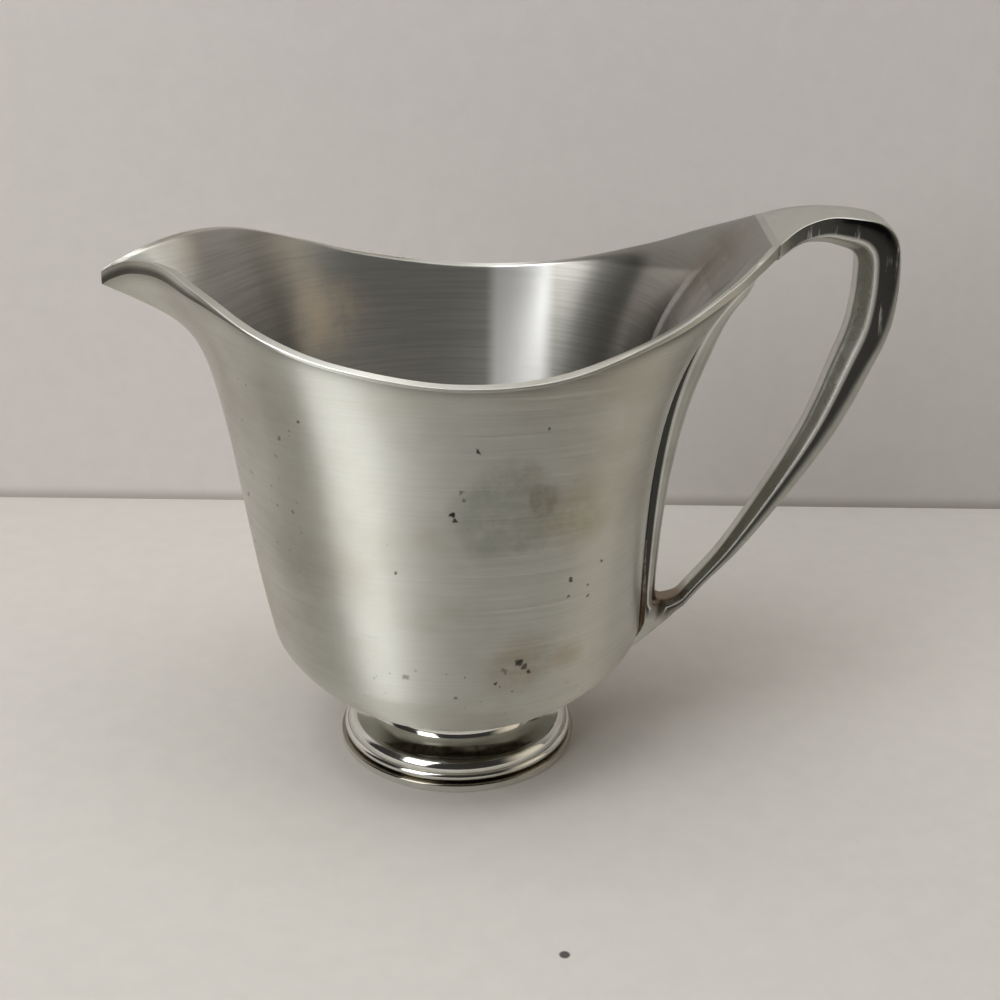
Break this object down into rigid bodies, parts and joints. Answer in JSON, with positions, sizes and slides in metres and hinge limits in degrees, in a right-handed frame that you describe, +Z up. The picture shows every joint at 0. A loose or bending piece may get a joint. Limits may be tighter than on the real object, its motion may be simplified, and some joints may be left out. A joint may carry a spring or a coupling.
{
  "type": "cream jug",
  "caption": "Footed metal cream jug with a bell-shaped bowl, a drooping pouring spout, an open teardrop handle that flows out of the rim, and a turned pedestal foot.",
  "frame": {"origin": "centre of the foot, on the surface that it stands on", "axes": "+Z up, +X from the spout towards the handle, -X along the spout"},
  "size_m": [0.1531, 0.0796, 0.1149],
  "materials": {
    "bowl_metal": "satin, finely brushed, lightly worn and tarnished",
    "handle_metal": "half polished cast metal with tarnish in the crotch",
    "foot_metal": "mirror polished",
    "solder": "dull, brown with residue"
  },
  "bodies": {
    "root": {"bowl": "bowl_metal", "handle": "handle_metal", "foot": "foot_metal", "foot_solder": "solder", "upper_solder": "solder", "lower_solder": "solder"}
  },
  "joints": []
}
